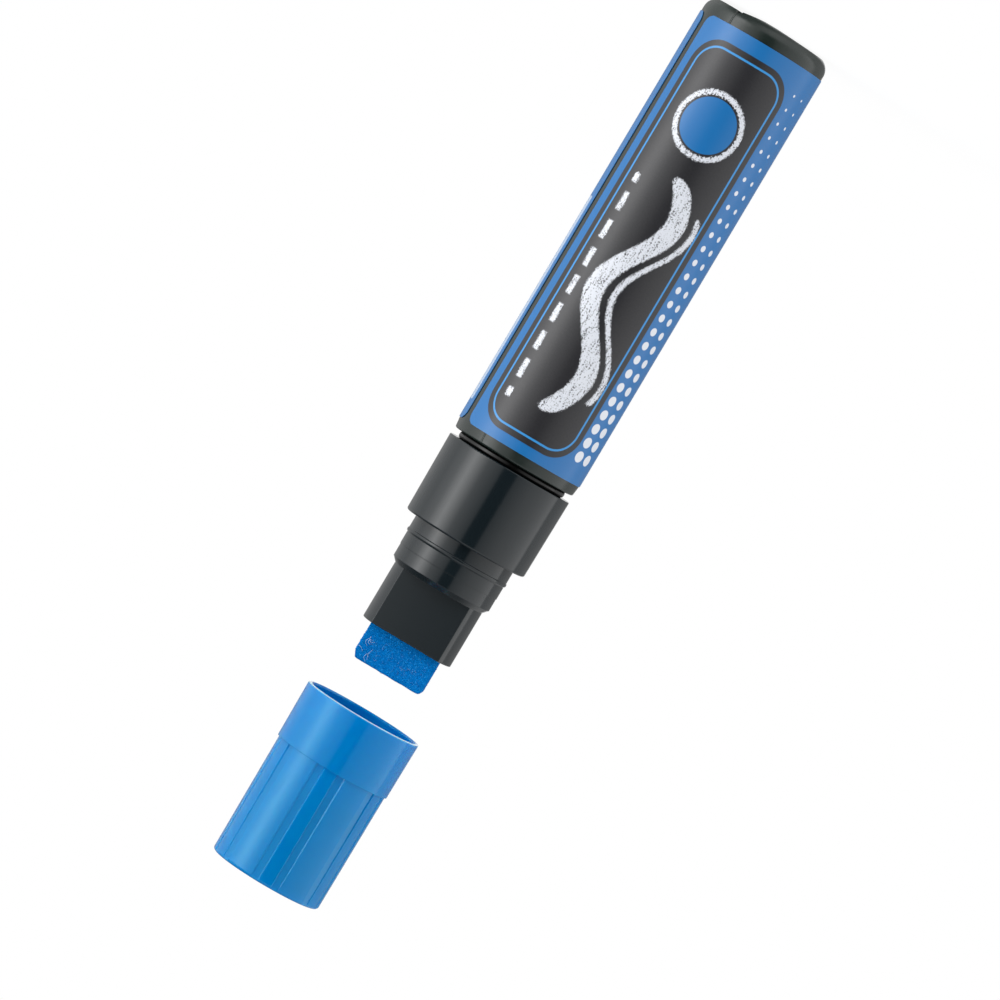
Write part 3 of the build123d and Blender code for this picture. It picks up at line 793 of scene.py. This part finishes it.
def make_world():
    """A studio: white to the camera and straight behind the marker, a bright panel on the left, a broad dim
    one on the right, a dark gap in front where the camera stands, and soft light below and above, which is
    dimmer overhead."""
    world = bpy.data.worlds.new("studio")
    bpy.context.scene.world = world
    world.use_nodes = True
    tree = world.node_tree
    tree.nodes.clear()
    direction = add_node(tree, "ShaderNodeTexCoord").outputs["Generated"]
    axes = add_node(tree, "ShaderNodeSeparateXYZ", {0: direction})
    forward = add_node(tree, "ShaderNodeMath", {0: axes.outputs["Y"], 1: -1.0}, operation="MULTIPLY")
    azimuth = add_node(tree, "ShaderNodeMath", {
        0: axes.outputs["X"], 1: forward.outputs[0],
    }, operation="ARCTAN2").outputs[0]
    round_share = add_node(tree, "ShaderNodeMapRange", {
        "Value": azimuth, "From Min": -math.pi, "From Max": math.pi,
    }).outputs[0]
    panels, soft = (
        light_along(tree, round_share, [(0.5 + turn / 360, level) for turn, level in table], HIGHEST_LEVEL)
        for table in (STUDIO, SOFT_LIGHT)
    )
    height_share = add_node(tree, "ShaderNodeMapRange", {
        "Value": axes.outputs["Z"], "From Min": -1.0, "From Max": 1.0,
    }).outputs[0]
    panel_share, soft_share = (
        light_along(tree, height_share, [
            (0.5 + 0.5 * math.sin(math.radians(turn)), level) for turn, level in table
        ], 1.0)
        for table in (PANEL_HEIGHT, SOFT_HEIGHT)
    )
    dimmed = add_node(tree, "ShaderNodeMath", {0: soft, 1: soft_share}, operation="MULTIPLY").outputs[0]
    room = add_node(tree, "ShaderNodeMix", {
        SHARE: panel_share, FLOAT_A: dimmed, FLOAT_B: panels,
    }, data_type="FLOAT").outputs[FLOAT_OUT]
    path = add_node(tree, "ShaderNodeLightPath")
    level = add_node(tree, "ShaderNodeMix", {
        SHARE: path.outputs["Is Camera Ray"], FLOAT_A: room, FLOAT_B: 1.0,
    }, data_type="FLOAT").outputs[FLOAT_OUT]
    sky = add_node(tree, "ShaderNodeBackground", {"Color": (1, 1, 1, 1), "Strength": level})
    add_node(tree, "ShaderNodeOutputWorld", {"Surface": sky.outputs[0]})


def make_camera():
    """The photograph's camera: nearly level with the marker, a little round from its front, and rolled so
    that the tail is up and right."""
    side_turn = Matrix.Rotation(math.radians(-2.0), 3, "Z")
    roll = math.radians(30.75)
    distance, sideways = 1.203, -1.5 * MM
    stand_height, target_height = 0.06075, 0.10175
    stand = side_turn @ Vector((sideways, -distance, stand_height))
    target = side_turn @ Vector((sideways, 0, target_height))
    up_hint = side_turn @ Vector((math.sin(roll), 0, -math.cos(roll)))
    back = (stand - target).normalized()
    right = up_hint.cross(back).normalized()
    up = back.cross(right)
    camera = bpy.data.cameras.new("camera")
    camera.sensor_width = 36.0
    camera.lens = 231.0
    camera.clip_start = 0.05
    camera.clip_end = 20.0
    holder = bpy.data.objects.new("camera", camera)
    bpy.context.scene.collection.objects.link(holder)
    holder.matrix_world = Matrix.Translation(stand) @ Matrix((right, up, back)).transposed().to_4x4()
    bpy.context.scene.camera = holder


dress_nodes()
make_valve_spring()
make_felt_nib()
make_fibres(
    "nib_fibres", fibre_material("blue_polyester_fibre", "#2C8FDA", "#0F74C6"), count=200, seed=5,
    sides=((1, -1, 8), (1, 1, 8), (2, 1, 4), (0, 1, 3), (0, -1, 3)),
    region_mm=((-6.4, -3.2, -6.2), (6.4, 3.2, -1.2)),
    length_mm=(0.3, 0.8), curl=0.5, thickness_mm=0.06, lift_mm=0.08,
)
make_fibres(
    "nib_curls", fibre_material("pale_polyester_fibre", "#B4CCEA", "#8FB6E4"), count=6, seed=21,
    sides=((1, -1, 4), (0, 1, 1)), region_mm=((4.4, -3.2, -4.6), (6.4, 3.2, -1.6)),
    length_mm=(1.0, 2.4), curl=1.1, thickness_mm=0.07, lift_mm=0.3,
)
make_fibres(
    "nib_specks", fibre_material("half_soaked_polyester_fibre", "#6FA9E0", "#4C93D6"), count=12, seed=4,
    sides=((1, -1, 1),), region_mm=((-6.0, -3.2, -4.0), (6.0, 3.2, -1.4)),
    length_mm=(0.4, 0.9), curl=0.8, thickness_mm=0.07, lift_mm=0.12,
)
make_floor()
make_world()
make_camera()
bpy.context.scene.view_settings.view_transform = "Standard"
